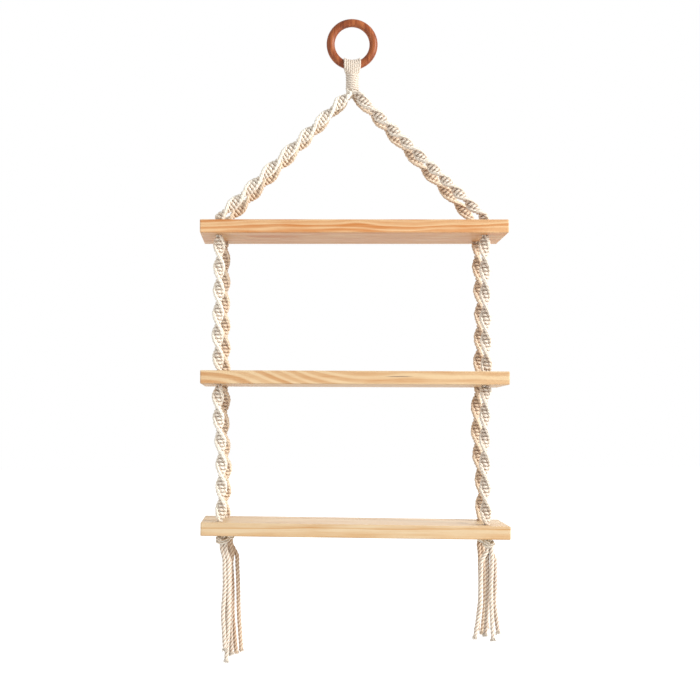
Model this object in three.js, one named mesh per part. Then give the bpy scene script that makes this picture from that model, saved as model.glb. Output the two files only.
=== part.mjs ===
// A hanging rope shelf: three pine boards carried by knotted cotton cords, hung from one wooden ring.
// Eight long cords are folded over the ring, gathered by a tight wrap and split into four legs.
// Every leg is knotted in half knots, so it winds into a spiral, and runs down through a hole in each board.
// Units are millimetres. X runs along the boards, Y from the front to the back, and Z is up.
// The origin is the seat where a hook or peg bears: the highest point inside the ring's hole.
import * as THREE from "three";

// Ring
const ringOuterDiameter = 75;
const ringTubeDiameter = 12;

// Cords over the ring
const foldedCordCount = 8;
const looseCordDiameter = 4.8;
const tautCordDiameter = 2.8;
const squeezedCordDiameter = 2.1;
const cordSpacing = 3.1;
const squeezedCordSpacing = 2.4;
const loopEndDepth = 4.5;
const loopEndDepthLeast = 1.6;

// Gathering wrap
const wrapBelowRing = 5.6;
const wrapTurns = 7;
const wrapPitch = 3.32;
const wrapCordDiameter = 2.76;
const gatherDiameter = 13.4;
const wrapTailLength = 2.9;

// Boards
const boardLength = 440;
const boardDepth = 140;
const boardThickness = 19;
const boardCornerRadius = 1.5;
const boardEdgeEase = 0.8;
const topBoardBelowRing = 229.1;
const middleBoardSpacing = 215.6;
const bottomBoardSpacing = 216.3;
const middleBoardRollDeg = 0.37;
const bottomBoardRollDeg = 1.09;
const bottomBoardPitchDeg = 1.35;

// Holes for the cords
const frontLeftHoleInset = 26;
const frontRightHoleInset = 31;
const rearLeftHoleInset = 31;
const rearRightHoleInset = 32.5;
const holeEdgeDistance = 30;
const holeNeckDiameter = 10;

// Knotted cords
const sennitWidth = 17.6;
const sennitThickness = 9.4;
const sennitRamp = 13;
const legRamp = 20;
const legTurnLength = 65;
const firstLegBulgeDistance = 22;
const legNeckDiameter = 7.4;
const legSpreadLength = 16;
const legBendRadius = 15;
const sennitStepLength = 8;
const sennitSides = 8;

// Stopper knots and tassels
const knotWidth = 19.2;
const knotHeight = 13.6;
const knotBesideLeftHole = 4.6;
const knotBesideRightHole = 3;
const tasselStrandSpacing = 5.3;

// Clearances
const touchGap = 0.3;
const strandSeatGap = 0.5;
const wrapSeatGap = 1;

const ringMajorRadius = (ringOuterDiameter - ringTubeDiameter) / 2;
const ringHoleRadius = ringMajorRadius - ringTubeDiameter / 2;
const ringCentreHeight = -ringHoleRadius;
const lowerTubeHeight = ringCentreHeight - ringMajorRadius;
const ringBottomHeight = lowerTubeHeight - ringTubeDiameter / 2;
const wrapTopHeight = ringBottomHeight - wrapBelowRing;
const wrapBottomHeight = wrapTopHeight - wrapTurns * wrapPitch - wrapCordDiameter;
const swingPivot = new THREE.Vector3(0, 0, wrapBottomHeight - wrapSeatGap);
const holeNeckRadius = holeNeckDiameter / 2;
const boardHoleRadius = holeNeckRadius + touchGap;

const material = (color, roughness) => new THREE.MeshStandardMaterial({ color, roughness, metalness: 0 });

function addPiece(group, name, geometry, pieceMaterial) {
  const piece = new THREE.Mesh(geometry, pieceMaterial);
  piece.name = name;
  group.add(piece);
  return piece;
}

const smooth = (share) => {
  const t = Math.min(1, Math.max(0, share));
  return t * t * (3 - 2 * t);
};

const mix = (from, to, share) => from + (to - from) * share;

// Closes a row of rings, each with the same number of points, into one solid with a point at each end.
// The rings run anticlockwise when seen against the direction of travel.
function closedSolid(rings, startPole, endPole) {
  const sides = rings[0].length;
  const corners = [...rings.flat(), startPole, endPole];
  const startIndex = corners.length - 2;
  const endIndex = corners.length - 1;
  const faces = [];
  for (let side = 0; side < sides; side += 1) {
    const next = (side + 1) % sides;
    const last = (rings.length - 1) * sides;
    faces.push(startIndex, next, side);
    faces.push(endIndex, last + side, last + next);
    for (let row = 0; row < rings.length - 1; row += 1) {
      const here = row * sides;
      const there = here + sides;
      faces.push(here + side, here + next, there + next);
      faces.push(here + side, there + next, there + side);
    }
  }
  const geometry = new THREE.BufferGeometry().setFromPoints(corners);
  geometry.setIndex(faces);
  geometry.computeVertexNormals();
  return geometry;
}

// Frames along a row of points: the tangent, and two cross directions that never turn about it.
function framesAlong(points, reference) {
  const frames = [];
  let across = reference.clone();
  points.forEach((point, index) => {
    const before = points[Math.max(0, index - 1)];
    const after = points[Math.min(points.length - 1, index + 1)];
    const tangent = after.clone().sub(before).normalize();
    across = across.clone().addScaledVector(tangent, -across.dot(tangent)).normalize();
    const third = tangent.clone().cross(across);
    frames.push({ point, tangent, across, third });
  });
  return frames;
}

// One ring of an oval section, turned about the tangent by the given angle.
function ovalRing(frame, halfWidth, halfThickness, turn, sides) {
  return Array.from({ length: sides }, (_, side) => {
    const angle = (side / sides) * Math.PI * 2;
    const wide = Math.cos(angle) * halfWidth;
    const thin = Math.sin(angle) * halfThickness;
    const x = wide * Math.cos(turn) - thin * Math.sin(turn);
    const y = wide * Math.sin(turn) + thin * Math.cos(turn);
    return frame.point.clone().addScaledVector(frame.across, x).addScaledVector(frame.third, y);
  });
}

// The wooden ring stands in the XZ plane, so that a peg passes through it from the front.
function ringGeometry() {
  const tubeSides = 12;
  const ringSteps = 40;
  const torus = new THREE.TorusGeometry(ringMajorRadius, ringTubeDiameter / 2, tubeSides, ringSteps);
  return torus.rotateX(Math.PI / 2).translate(0, 0, ringCentreHeight);
}

// How far a slice of the ring at this distance from the middle reaches above the lower tube's own axis.
function ringReachAt(x) {
  const reach = Math.sqrt(ringMajorRadius ** 2 - x ** 2);
  const rise = ringMajorRadius - reach;
  return rise + (ringTubeDiameter / 2) * (ringMajorRadius / reach);
}

// A folded cord hugs the ring's lower tube on an arc about the tube's axis, then both halves draw in,
// squeezed ever thinner, until they meet the top of the gathering wrap.
function loopGeometry(index) {
  const arcAnglesDeg = [0, 22, 44, 66, 88, 108];
  const drawInShare = 0.42;
  const outerEdgeShare = 0.5;
  const sides = 6;
  const steps = 16;
  const place = index - (foldedCordCount - 1) / 2;
  const topX = place * cordSpacing;
  const endX = place * squeezedCordSpacing;
  const outermost = ((foldedCordCount - 1) / 2) * squeezedCordSpacing;
  const tautRadius = tautCordDiameter / 2;
  const arcRadius = ringReachAt(Math.abs(topX) + tautRadius * outerEdgeShare) + touchGap + tautRadius;
  const endHeight = wrapTopHeight + touchGap;
  const roundness = Math.sqrt(Math.max(0, 1 - (endX / outermost) ** 2));
  const endY = mix(loopEndDepthLeast, loopEndDepth, roundness);
  const onArc = (degrees) => {
    const angle = THREE.MathUtils.degToRad(degrees);
    const height = lowerTubeHeight + Math.cos(angle) * arcRadius;
    return new THREE.Vector3(topX, Math.sin(angle) * arcRadius, height);
  };
  const half = arcAnglesDeg.map(onArc);
  const lastOnArc = half[half.length - 1];
  const straightStart = endHeight + squeezedCordDiameter;
  const drawIn = new THREE.Vector3(
    mix(topX, endX, drawInShare),
    mix(lastOnArc.y, endY, drawInShare) + touchGap,
    mix(lastOnArc.z, straightStart, drawInShare),
  );
  half.push(drawIn, new THREE.Vector3(endX, endY, straightStart), new THREE.Vector3(endX, endY, endHeight));
  const otherHalf = half.slice(1).reverse().map((point) => new THREE.Vector3(point.x, -point.y, point.z));
  const curve = new THREE.CatmullRomCurve3([...otherHalf, ...half], false, "centripetal");
  const points = curve.getSpacedPoints(steps);
  const frames = framesAlong(points, new THREE.Vector3(1, 0, 0));
  const squeezeLength = endHeight - lowerTubeHeight;
  const rings = frames.map((frame) => {
    const below = (lowerTubeHeight - frame.point.z) / -squeezeLength;
    const radius = mix(tautRadius, squeezedCordDiameter / 2, smooth(below));
    return ovalRing(frame, radius, radius, 0, sides);
  });
  return closedSolid(rings, points[0], points[points.length - 1]);
}

// The squeezed strands inside the wrap: a round bundle that ends below in a dome about the swing pivot.
function gatherGeometry() {
  const sides = 16;
  const domeAnglesDeg = [0, 30, 60];
  const radius = gatherDiameter / 2;
  const ringAt = (ringRadius, height) => {
    const centre = new THREE.Vector3(0, 0, height);
    const frame = { point: centre, across: new THREE.Vector3(1, 0, 0), third: new THREE.Vector3(0, -1, 0) };
    return ovalRing(frame, ringRadius, ringRadius, 0, sides);
  };
  const rings = [ringAt(radius, wrapTopHeight)];
  domeAnglesDeg.forEach((degrees) => {
    const angle = THREE.MathUtils.degToRad(degrees);
    rings.push(ringAt(Math.cos(angle) * radius, swingPivot.z - Math.sin(angle) * radius));
  });
  const topPole = new THREE.Vector3(0, 0, wrapTopHeight);
  const lowPole = new THREE.Vector3(0, 0, swingPivot.z - radius);
  return closedSolid(rings, topPole, lowPole);
}

// The wrap is one unbroken cord wound round the gathered strands, with a short straight tail at each end.
function wrapPoints() {
  const stepsPerTurn = 24;
  const windingRadius = gatherDiameter / 2 + touchGap + wrapCordDiameter / 2;
  const rise = wrapTurns * wrapPitch;
  const top = wrapTopHeight - wrapCordDiameter / 2;
  const steps = stepsPerTurn * wrapTurns;
  const points = Array.from({ length: steps + 1 }, (_, step) => {
    const share = step / steps;
    const angle = share * wrapTurns * Math.PI * 2 + Math.PI / 2;
    return new THREE.Vector3(
      Math.cos(angle) * windingRadius,
      Math.sin(angle) * windingRadius,
      top - share * rise,
    );
  });
  const tail = (end, next) => end.clone().add(end.clone().sub(next).setLength(wrapTailLength));
  return [tail(points[0], points[1]), ...points, tail(points[steps], points[steps - 1])];
}

function wrapGeometry(points) {
  const sides = 6;
  const radius = wrapCordDiameter / 2;
  const frames = framesAlong(points, new THREE.Vector3(0, 0, 1));
  const rings = frames.map((frame) => ovalRing(frame, radius, radius, 0, sides));
  return closedSolid(rings, points[0], points[points.length - 1]);
}

// The least gap between one turn and any other turn, measured from point to point along the cord.
function leastGapToItself(points, diameter) {
  const halfTurnSteps = 12;
  let least = Infinity;
  points.forEach((point, index) => {
    for (let other = index + halfTurnSteps; other < points.length; other += 1) {
      least = Math.min(least, point.distanceTo(points[other]) - diameter);
    }
  });
  return least;
}

// The four holes of every board. Each stretch of cord between two boards has a spiral of its own: the
// distance from the upper board to its first bulge, and the length of one full turn.
const holes = [
  {
    name: "front_left",
    side: -1,
    depth: -1,
    inset: frontLeftHoleInset,
    upperSpiral: { firstBulge: 14, turnLength: 65 },
    lowerSpiral: { firstBulge: 17, turnLength: 65 },
  },
  {
    name: "front_right",
    side: 1,
    depth: -1,
    inset: frontRightHoleInset,
    upperSpiral: { firstBulge: 17, turnLength: 69 },
    lowerSpiral: { firstBulge: 8, turnLength: 70 },
  },
  {
    name: "rear_left",
    side: -1,
    depth: 1,
    inset: rearLeftHoleInset,
    upperSpiral: { firstBulge: 27, turnLength: 65 },
    lowerSpiral: { firstBulge: 22, turnLength: 66 },
  },
  {
    name: "rear_right",
    side: 1,
    depth: 1,
    inset: rearRightHoleInset,
    upperSpiral: { firstBulge: 5, turnLength: 70 },
    lowerSpiral: { firstBulge: 30, turnLength: 74 },
  },
].map((hole) => ({
  ...hole,
  x: hole.side * (boardLength / 2 - hole.inset),
  y: hole.depth * (boardDepth / 2 - holeEdgeDistance),
  knotShift: hole.side < 0 ? knotBesideLeftHole : knotBesideRightHole,
}));

// A board, drilled through near its four corners, with every edge and hole mouth eased.
function boardGeometry() {
  const cornerSteps = 2;
  const holeSteps = 12;
  const halfLength = boardLength / 2;
  const halfDepth = boardDepth / 2;
  const outline = new THREE.Shape();
  const corners = [
    [halfLength, halfDepth, 0],
    [-halfLength, halfDepth, 1],
    [-halfLength, -halfDepth, 2],
    [halfLength, -halfDepth, 3],
  ];
  corners.forEach(([x, y, quarter]) => {
    const centreX = x - Math.sign(x) * boardCornerRadius;
    const centreY = y - Math.sign(y) * boardCornerRadius;
    const start = (quarter * Math.PI) / 2;
    for (let step = 0; step <= cornerSteps; step += 1) {
      const angle = start + (step / cornerSteps) * (Math.PI / 2);
      const point = [
        centreX + Math.cos(angle) * boardCornerRadius,
        centreY + Math.sin(angle) * boardCornerRadius,
      ];
      if (quarter === 0 && step === 0) outline.moveTo(...point);
      else outline.lineTo(...point);
    }
  });
  outline.closePath();
  holes.forEach((hole) => {
    const ring = Array.from({ length: holeSteps }, (_, step) => {
      const angle = -(step / holeSteps) * Math.PI * 2;
      return new THREE.Vector2(
        hole.x + Math.cos(angle) * boardHoleRadius,
        hole.y + Math.sin(angle) * boardHoleRadius,
      );
    });
    outline.holes.push(new THREE.Path(ring));
  });
  const board = new THREE.ExtrudeGeometry(outline, {
    depth: boardThickness - 2 * boardEdgeEase,
    bevelThickness: boardEdgeEase,
    bevelSize: boardEdgeEase,
    bevelOffset: -boardEdgeEase,
    bevelSegments: 1,
  });
  return board.translate(0, 0, boardEdgeEase - boardThickness / 2);
}

// Each board hangs in a group of its own, which holds its slight lean.
function boardGroup(topHeight, rollDeg, pitchDeg) {
  const group = new THREE.Group();
  group.position.set(0, 0, topHeight - boardThickness / 2);
  group.rotation.set(THREE.MathUtils.degToRad(pitchDeg), THREE.MathUtils.degToRad(rollDeg), 0);
  group.updateMatrixWorld(true);
  return group;
}

const mouth = (group, hole, side) =>
  group.localToWorld(new THREE.Vector3(hole.x, hole.y, (side * boardThickness) / 2));

// The strands inside a hole, from one level to another of the board's own frame.
function plugGeometry(hole, fromHeight, toHeight) {
  const sides = 8;
  const plug = new THREE.CylinderGeometry(holeNeckRadius, holeNeckRadius, toHeight - fromHeight, sides);
  return plug.rotateX(Math.PI / 2).translate(hole.x, hole.y, (fromHeight + toHeight) / 2);
}

const spiralTurn = (spiral, travelled) =>
  (-(travelled - spiral.firstBulge) / spiral.turnLength) * Math.PI * 2;

// A knotted cord: an oval section that swells out of a round neck and turns as a left-handed spiral.
function sennitRings(points, neckStart, neckEnd, ramp, spiral) {
  const frames = framesAlong(points, new THREE.Vector3(1, 0, 0));
  const lengths = [0];
  for (let index = 1; index < points.length; index += 1) {
    lengths.push(lengths[index - 1] + points[index].distanceTo(points[index - 1]));
  }
  const total = lengths[lengths.length - 1];
  return frames.map((frame, index) => {
    const travelled = lengths[index];
    const fromStart = smooth(travelled / ramp);
    const fromEnd = smooth((total - travelled) / ramp);
    const neck = mix(neckStart, neckEnd, travelled / total);
    const swell = fromStart * fromEnd;
    const halfWidth = mix(neck, sennitWidth / 2, swell);
    const halfThickness = mix(neck, sennitThickness / 2, swell);
    return ovalRing(frame, halfWidth, halfThickness, spiralTurn(spiral, travelled), sennitSides);
  });
}

// A dome of rings that closes a neck about its own end point, so that it can turn there in its hole.
function domeRings(end, outward, radius) {
  const domeAnglesDeg = [35, 65];
  return domeAnglesDeg.map((degrees) => {
    const angle = THREE.MathUtils.degToRad(degrees);
    const centre = end.clone().addScaledVector(outward.direction, Math.sin(angle) * radius);
    const frame = { point: centre, across: outward.across, third: outward.third };
    const ringRadius = Math.cos(angle) * radius;
    return ovalRing(frame, ringRadius, ringRadius, outward.turn, sennitSides);
  });
}

// One stretch of knotted cord between two boards, domed at both ends.
function stretchGeometry(upper, lower, spiral) {
  const length = upper.distanceTo(lower);
  const steps = Math.round(length / sennitStepLength);
  const points = Array.from({ length: steps + 1 }, (_, step) => upper.clone().lerp(lower, step / steps));
  const rings = sennitRings(points, holeNeckRadius, holeNeckRadius, sennitRamp, spiral);
  const frames = framesAlong(points, new THREE.Vector3(1, 0, 0));
  const ends = { first: frames[0], last: frames[steps] };
  const up = { ...ends.first, direction: ends.first.tangent.clone().negate(), turn: spiralTurn(spiral, 0) };
  const down = { ...ends.last, direction: ends.last.tangent, turn: spiralTurn(spiral, length) };
  const topDome = domeRings(upper, up, holeNeckRadius).reverse();
  const lowDome = domeRings(lower, down, holeNeckRadius);
  const topPole = upper.clone().addScaledVector(up.direction, holeNeckRadius);
  const lowPole = lower.clone().addScaledVector(down.direction, holeNeckRadius);
  return closedSolid([...topDome, ...rings, ...lowDome], topPole, lowPole);
}

// A leg leaves the dome under the wrap squarely, runs straight to its board, bends down and fills the hole.
function legGeometry(hole, topGroup) {
  const leaveShares = new THREE.Vector3(0.6, 0.59, 0.54);
  const startShare = 0.5;
  const runShares = [0.06, 0.3, 0.6, 0.94];
  const bendShares = [0, 0.33, 0.67, 1];
  const leave = new THREE.Vector3(
    hole.side * leaveShares.x,
    hole.depth * leaveShares.y,
    -leaveShares.z,
  ).normalize();
  const start = swingPivot.clone().addScaledVector(leave, gatherDiameter / 2 + touchGap);
  const spread = swingPivot.clone().addScaledVector(leave, legSpreadLength);
  const entry = mouth(topGroup, hole, 1);
  const end = mouth(topGroup, hole, -1).add(new THREE.Vector3(0, 0, holeNeckRadius + touchGap));
  const run = entry.clone().sub(spread).normalize();
  const slope = Math.acos(-run.z);
  const flat = new THREE.Vector3(run.x, run.y, 0).normalize();
  const bendPoint = (share) => {
    const angle = slope * (1 - share);
    const inward = legBendRadius * (1 - Math.cos(angle));
    const above = legBendRadius * Math.sin(angle);
    return entry.clone().addScaledVector(flat, -inward).add(new THREE.Vector3(0, 0, above));
  };
  const curve = new THREE.CatmullRomCurve3([
    start,
    start.clone().lerp(spread, startShare),
    ...runShares.map((share) => spread.clone().lerp(bendPoint(0), share)),
    ...bendShares.map(bendPoint),
    end,
  ], false, "centripetal");
  const points = curve.getSpacedPoints(Math.round(curve.getLength() / sennitStepLength));
  const outside = points.filter((point) => point.z > entry.z + holeNeckRadius);
  const spiral = { firstBulge: firstLegBulgeDistance, turnLength: legTurnLength };
  const rings = sennitRings(outside, legNeckDiameter / 2, holeNeckRadius, legRamp, spiral);
  const inHole = [entry, end].map((point) => {
    const frame = { point, across: new THREE.Vector3(1, 0, 0), third: new THREE.Vector3(0, -1, 0) };
    const ring = ovalRing(frame, holeNeckRadius, holeNeckRadius, 0, sennitSides);
    return alignedRing(rings[rings.length - 1], ring);
  });
  return closedSolid([...rings, ...inHole], start, end);
}

// Starts a ring at the corner that lies nearest to the first corner of the ring before it.
function alignedRing(before, ring) {
  const sum = (shift) =>
    before.reduce((total, corner, side) => total + corner.distanceTo(ring[(side + shift) % ring.length]), 0);
  let best = 0;
  for (let shift = 1; shift < ring.length; shift += 1) {
    if (sum(shift) < sum(best)) best = shift;
  }
  return ring.map((_, side) => ring[(side + best) % ring.length]);
}

// A stopper knot: a squat bun with three twisted lobes, flat where it bears on the board. It is tied a
// little to the right of its hole.
function knotGeometry(hole) {
  const sides = 12;
  const levelShares = [1, 0.8, 0.4, 0, -0.4, -0.75, -0.95];
  const topRadiusShare = 0.62;
  const lobeShare = 0.06;
  const lobes = 3;
  const twistDeg = 70;
  const halfHeight = knotHeight / 2;
  const level = -boardThickness / 2 - touchGap - halfHeight;
  const centre = new THREE.Vector3(hole.x + hole.knotShift, hole.y, level);
  const rings = levelShares.map((share) => {
    const round = Math.sqrt(Math.max(0, 1 - share ** 2));
    const radius = (knotWidth / 2) * (share > 0 ? Math.max(round, topRadiusShare) : round);
    return Array.from({ length: sides }, (_, side) => {
      const angle = -(side / sides) * Math.PI * 2;
      const wave = Math.cos(lobes * angle + THREE.MathUtils.degToRad(twistDeg) * share * lobes);
      const reach = radius * (1 - lobeShare + lobeShare * wave);
      const height = share * halfHeight;
      return new THREE.Vector3(Math.cos(angle) * reach, Math.sin(angle) * reach, height).add(centre);
    });
  });
  const top = centre.clone().add(new THREE.Vector3(0, 0, halfHeight));
  const low = centre.clone().add(new THREE.Vector3(0, 0, -halfHeight));
  return closedSolid(rings, top, low);
}

// The free strands of the tassels. Each one hangs straight out of its knot and then goes its own way: its
// places to the side, from the middle of the knot, are chosen by hand at five shares of its length.
const strandDropShares = [0, 0.03, 0.08, 0.14, 0.21, 0.29, 0.37, 0.45, 0.53, 0.61, 0.69, 0.77, 0.85, 0.93, 1];
const strandDriftShares = [0, 0, 0.01, 0.04, 0.08, 0.13, 0.19, 0.26, 0.34, 0.43, 0.53, 0.64, 0.76, 0.88, 1];
const strandMarkShares = [0.03, 0.14, 0.4, 0.65, 1];
const tassels = {
  front_left: [
    { length: 150, sideways: [-1.1, 2.6, 3.1, 0.2, 3.4], driftY: -8 },
    { length: 167, sideways: [4.2, 8.4, 8.5, 8.3, 4.8], driftY: 0 },
    { length: 160, sideways: [-1.1, 3.5, 4.5, 5, 6], driftY: 5 },
    { length: 158, sideways: [4.2, 9.5, 10.5, 10.5, 12], driftY: 7 },
  ],
  front_right: [
    { length: 129, sideways: [-2.65, -10.5, -12.2, -13, -21.4], driftY: -5 },
    { length: 132, sideways: [4.2, 4.8, 3, 3.2, 5.2], driftY: -3 },
    { length: 127, sideways: [-1.3, -1.3, -1, -1.6, -4.8], driftY: 4 },
    { length: 124, sideways: [4.2, 9.4, 9.8, 8.6, 14.6], driftY: 6 },
  ],
  rear_left: [
    { length: 156, sideways: [-1.1, -2.5, -3.8, -3.8, -2.5], driftY: -3 },
    { length: 160, sideways: [4.2, 6.2, 1.8, 2.4, 4.6], driftY: -5 },
    { length: 168, sideways: [-1.1, 4, 6.5, 6.4, 11.5], driftY: 3 },
    { length: 165, sideways: [4.2, 13, 14.7, 15.3, 19], driftY: 5 },
  ],
  rear_right: [
    { length: 128, sideways: [-2.65, -1.8, -1.5, -2, -8], driftY: -4 },
    { length: 134, sideways: [2.65, 3.6, 5.6, 5.4, 0], driftY: -5 },
    { length: 130, sideways: [-2.65, -1, -0.5, -1, -5], driftY: 3 },
    { length: 127, sideways: [4.2, 6.5, 7.3, 8, 9.5], driftY: 5 },
  ],
};

// How far a strand stands to the side at a share of its length, on straight lines between its marks.
function strandSideways(strand, share) {
  const next = Math.max(1, strandMarkShares.findIndex((mark) => mark >= share));
  const [from, to] = [strandMarkShares[next - 1], strandMarkShares[next]];
  const travelled = Math.max(0, (share - from) / (to - from));
  return mix(strand.sideways[next - 1], strand.sideways[next], travelled);
}

function strandGeometry(start, strand) {
  const sides = 8;
  const stepDiameters = 3;
  const points = strandDropShares.map((drop, index) => new THREE.Vector3(
    start.x + strandSideways(strand, drop),
    start.y + strand.driftY * strandDriftShares[index],
    start.z - strand.length * drop,
  ));
  const section = new THREE.Shape(
    Array.from({ length: sides }, (_, side) => {
      const angle = (side / sides) * Math.PI * 2;
      return new THREE.Vector2(Math.cos(angle), Math.sin(angle)).multiplyScalar(looseCordDiameter / 2);
    }),
  );
  return new THREE.ExtrudeGeometry(section, {
    steps: Math.round(strand.length / (looseCordDiameter * stepDiameters)),
    extrudePath: new THREE.CatmullRomCurve3(points, false, "centripetal"),
    bevelEnabled: false,
  });
}

const ringWood = material(0xa9623a, 0.45);
const pine = material(0xe0ae74, 0.55);
const cotton = material(0xe9dfcb, 0.95);
const shelf = new THREE.Group();

addPiece(shelf, "wooden_ring", ringGeometry(), ringWood);
for (let index = 0; index < foldedCordCount; index += 1) {
  addPiece(shelf, `ring_loop_${index + 1}`, loopGeometry(index), cotton);
}
addPiece(shelf, "gathered_strands", gatherGeometry(), cotton);
const wrapRoute = wrapPoints();
addPiece(shelf, "gathering_wrap", wrapGeometry(wrapRoute), cotton);
const wrapGap = leastGapToItself(wrapRoute, wrapCordDiameter);
console.log(`gathering wrap: ${wrapTurns} turns, least gap to itself ${wrapGap.toFixed(2)} mm`);

const topHeight = ringBottomHeight - topBoardBelowRing;
const middleHeight = topHeight - middleBoardSpacing;
const bottomHeight = middleHeight - bottomBoardSpacing;
const boards = {
  top: boardGroup(topHeight, 0, 0),
  middle: boardGroup(middleHeight, middleBoardRollDeg, 0),
  bottom: boardGroup(bottomHeight, bottomBoardRollDeg, bottomBoardPitchDeg),
};
Object.entries(boards).forEach(([name, group]) => {
  shelf.add(group);
  addPiece(group, `${name}_board`, boardGeometry(), pine);
});

const plugReach = boardThickness / 2 - holeNeckRadius - touchGap;
holes.forEach((hole) => {
  addPiece(shelf, `leg_${hole.name}`, legGeometry(hole, boards.top), cotton);
  const upperEnds = [mouth(boards.top, hole, -1), mouth(boards.middle, hole, 1)];
  const lowerEnds = [mouth(boards.middle, hole, -1), mouth(boards.bottom, hole, 1)];
  addPiece(shelf, `upper_cord_${hole.name}`, stretchGeometry(...upperEnds, hole.upperSpiral), cotton);
  addPiece(shelf, `lower_cord_${hole.name}`, stretchGeometry(...lowerEnds, hole.lowerSpiral), cotton);
  const middlePlug = plugGeometry(hole, -plugReach, plugReach);
  const bottomPlug = plugGeometry(hole, -boardThickness / 2, plugReach);
  addPiece(boards.middle, `middle_hole_strands_${hole.name}`, middlePlug, cotton);
  addPiece(boards.bottom, `bottom_hole_strands_${hole.name}`, bottomPlug, cotton);
  addPiece(boards.bottom, `stopper_knot_${hole.name}`, knotGeometry(hole), cotton);
  const knotFoot = -boardThickness / 2 - touchGap - knotHeight;
  const base = boards.bottom.localToWorld(new THREE.Vector3(hole.x + hole.knotShift, hole.y, knotFoot));
  tassels[hole.name].forEach((strand, index) => {
    const start = new THREE.Vector3(
      base.x,
      base.y + (index < 2 ? -1 : 1) * (tasselStrandSpacing / 2),
      base.z - strandSeatGap,
    );
    addPiece(shelf, `tassel_${hole.name}_${index + 1}`, strandGeometry(start, strand), cotton);
  });
});

export default shelf;
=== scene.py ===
# %% [markdown]
# # A hanging rope shelf
# Three pine boards hang from one wooden ring on cotton cord. Eight cords are folded over the ring, bound
# together under it and split into four legs of four strands. Every leg is knotted in half knots, runs
# through a hole in each board and ends in a stopper knot with a tassel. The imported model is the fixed
# frame: it says where each piece is and what moves. Here each piece gets its real surface and finish.

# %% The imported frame
import bmesh
import bpy
import numpy as np
from mathutils import Matrix, Vector


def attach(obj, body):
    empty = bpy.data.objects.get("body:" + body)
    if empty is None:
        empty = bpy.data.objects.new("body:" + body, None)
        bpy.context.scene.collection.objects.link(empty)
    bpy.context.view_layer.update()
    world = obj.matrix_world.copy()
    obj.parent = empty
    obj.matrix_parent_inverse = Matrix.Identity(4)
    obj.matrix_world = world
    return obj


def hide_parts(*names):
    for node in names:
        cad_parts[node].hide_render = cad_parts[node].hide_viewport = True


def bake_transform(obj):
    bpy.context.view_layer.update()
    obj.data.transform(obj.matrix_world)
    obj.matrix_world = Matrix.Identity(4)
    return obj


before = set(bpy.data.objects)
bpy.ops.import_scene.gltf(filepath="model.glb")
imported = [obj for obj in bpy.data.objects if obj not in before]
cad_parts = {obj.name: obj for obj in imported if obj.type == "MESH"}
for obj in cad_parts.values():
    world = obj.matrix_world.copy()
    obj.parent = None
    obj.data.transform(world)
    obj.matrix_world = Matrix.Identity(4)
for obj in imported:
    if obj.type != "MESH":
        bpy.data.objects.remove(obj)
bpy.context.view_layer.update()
MM = 0.001


def in_scene(name, data):
    """A new object of the scene that shows the given data."""
    made = bpy.data.objects.new(name, data)
    bpy.context.scene.collection.objects.link(made)
    return made


# %% [markdown]
# ## The camera
# The photograph is taken from about 2.4 m, a little to the left and at the height between the lower two
# boards, so the top board shows its underside and the bottom one its top. A camera turned, tilted and
# rolled by small angles brings the boards' corners to about one pixel on average and three at worst. The
# rest of the framing, a picture that ends far above the eye's level, is the lens shift, kept small.

# %% Camera
PHOTO_SIDE = 700
SENSOR_WIDTH = 36
EYE = (-0.0996, -2.4, -0.6007)
EYE_TURN, EYE_TILT, EYE_ROLL = np.radians((-1.971, 91.434, -0.221))
FOCAL_PIXELS = 1645.0
AXIS_ACROSS, AXIS_DOWN = 341.9, 395.2

camera_data = bpy.data.cameras.new("camera")
camera_data.sensor_width = SENSOR_WIDTH
camera_data.lens = FOCAL_PIXELS / PHOTO_SIDE * SENSOR_WIDTH
camera_data.shift_x = (PHOTO_SIDE / 2 - AXIS_ACROSS) / PHOTO_SIDE
camera_data.shift_y = (AXIS_DOWN - PHOTO_SIDE / 2) / PHOTO_SIDE
camera = in_scene("camera", camera_data)
camera.matrix_world = (Matrix.Translation(EYE) @ Matrix.Rotation(EYE_TURN, 4, "Z")
                       @ Matrix.Rotation(EYE_TILT, 4, "X") @ Matrix.Rotation(EYE_ROLL, 4, "Z"))
bpy.context.scene.camera = camera
print("camera: lens", round(camera_data.lens, 2), "mm, shift", round(camera_data.shift_x, 4),
      round(camera_data.shift_y, 4))

# %% [markdown]
# ## From arrays to a mesh
# Every surface below is a grid of points worked out with numpy: one row for each step along a path, one
# column for each point round it. Each face joins four neighbours of the grid. Lengths are in millimetres
# until the mesh is made.

# %% Grids, closed tubes and pieces
def grid_corners(rows, columns):
    """The row and the column of each corner of the faces between the given number of neighbouring rows;
    a column past the last one is the first again."""
    row, column = np.meshgrid(np.arange(rows), np.arange(columns), indexing="ij")
    return (np.stack([row, row, row + 1, row + 1], -1).reshape(-1, 4),
            np.stack([column, column + 1, column + 1, column], -1).reshape(-1, 4))


def tube_faces(rows, columns, along):
    """A closed tube's faces as corner numbers, and each corner's place on the flat pattern, where once
    round is 1 wide and along is the height: quads between neighbouring rows, and a fan of triangles
    from one more point at either end, all facing outwards."""
    row, column = grid_corners(rows - 1, columns)
    around, last_row = np.arange(columns), (rows - 1) * columns
    fans, fan_uv = [], []
    for end, first, near, far in ((0, 0, around + 1, around), (-1, last_row, around, around + 1)):
        tip = np.full(columns, rows * columns - end)
        fans.append(np.stack([tip, first + near % columns, first + far % columns], -1))
        across = np.stack([0 * tip + 0.5, near / columns, far / columns], -1)
        fan_uv.append(np.stack([across, 0 * across + along[end]], -1).reshape(-1, 2))
    return {"quads": row * columns + column % columns, "triangles": np.concatenate(fans),
            "quad_uv": np.stack([column / columns, along[row]], -1).reshape(-1, 2),
            "triangle_uv": np.concatenate(fan_uv)}


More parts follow.
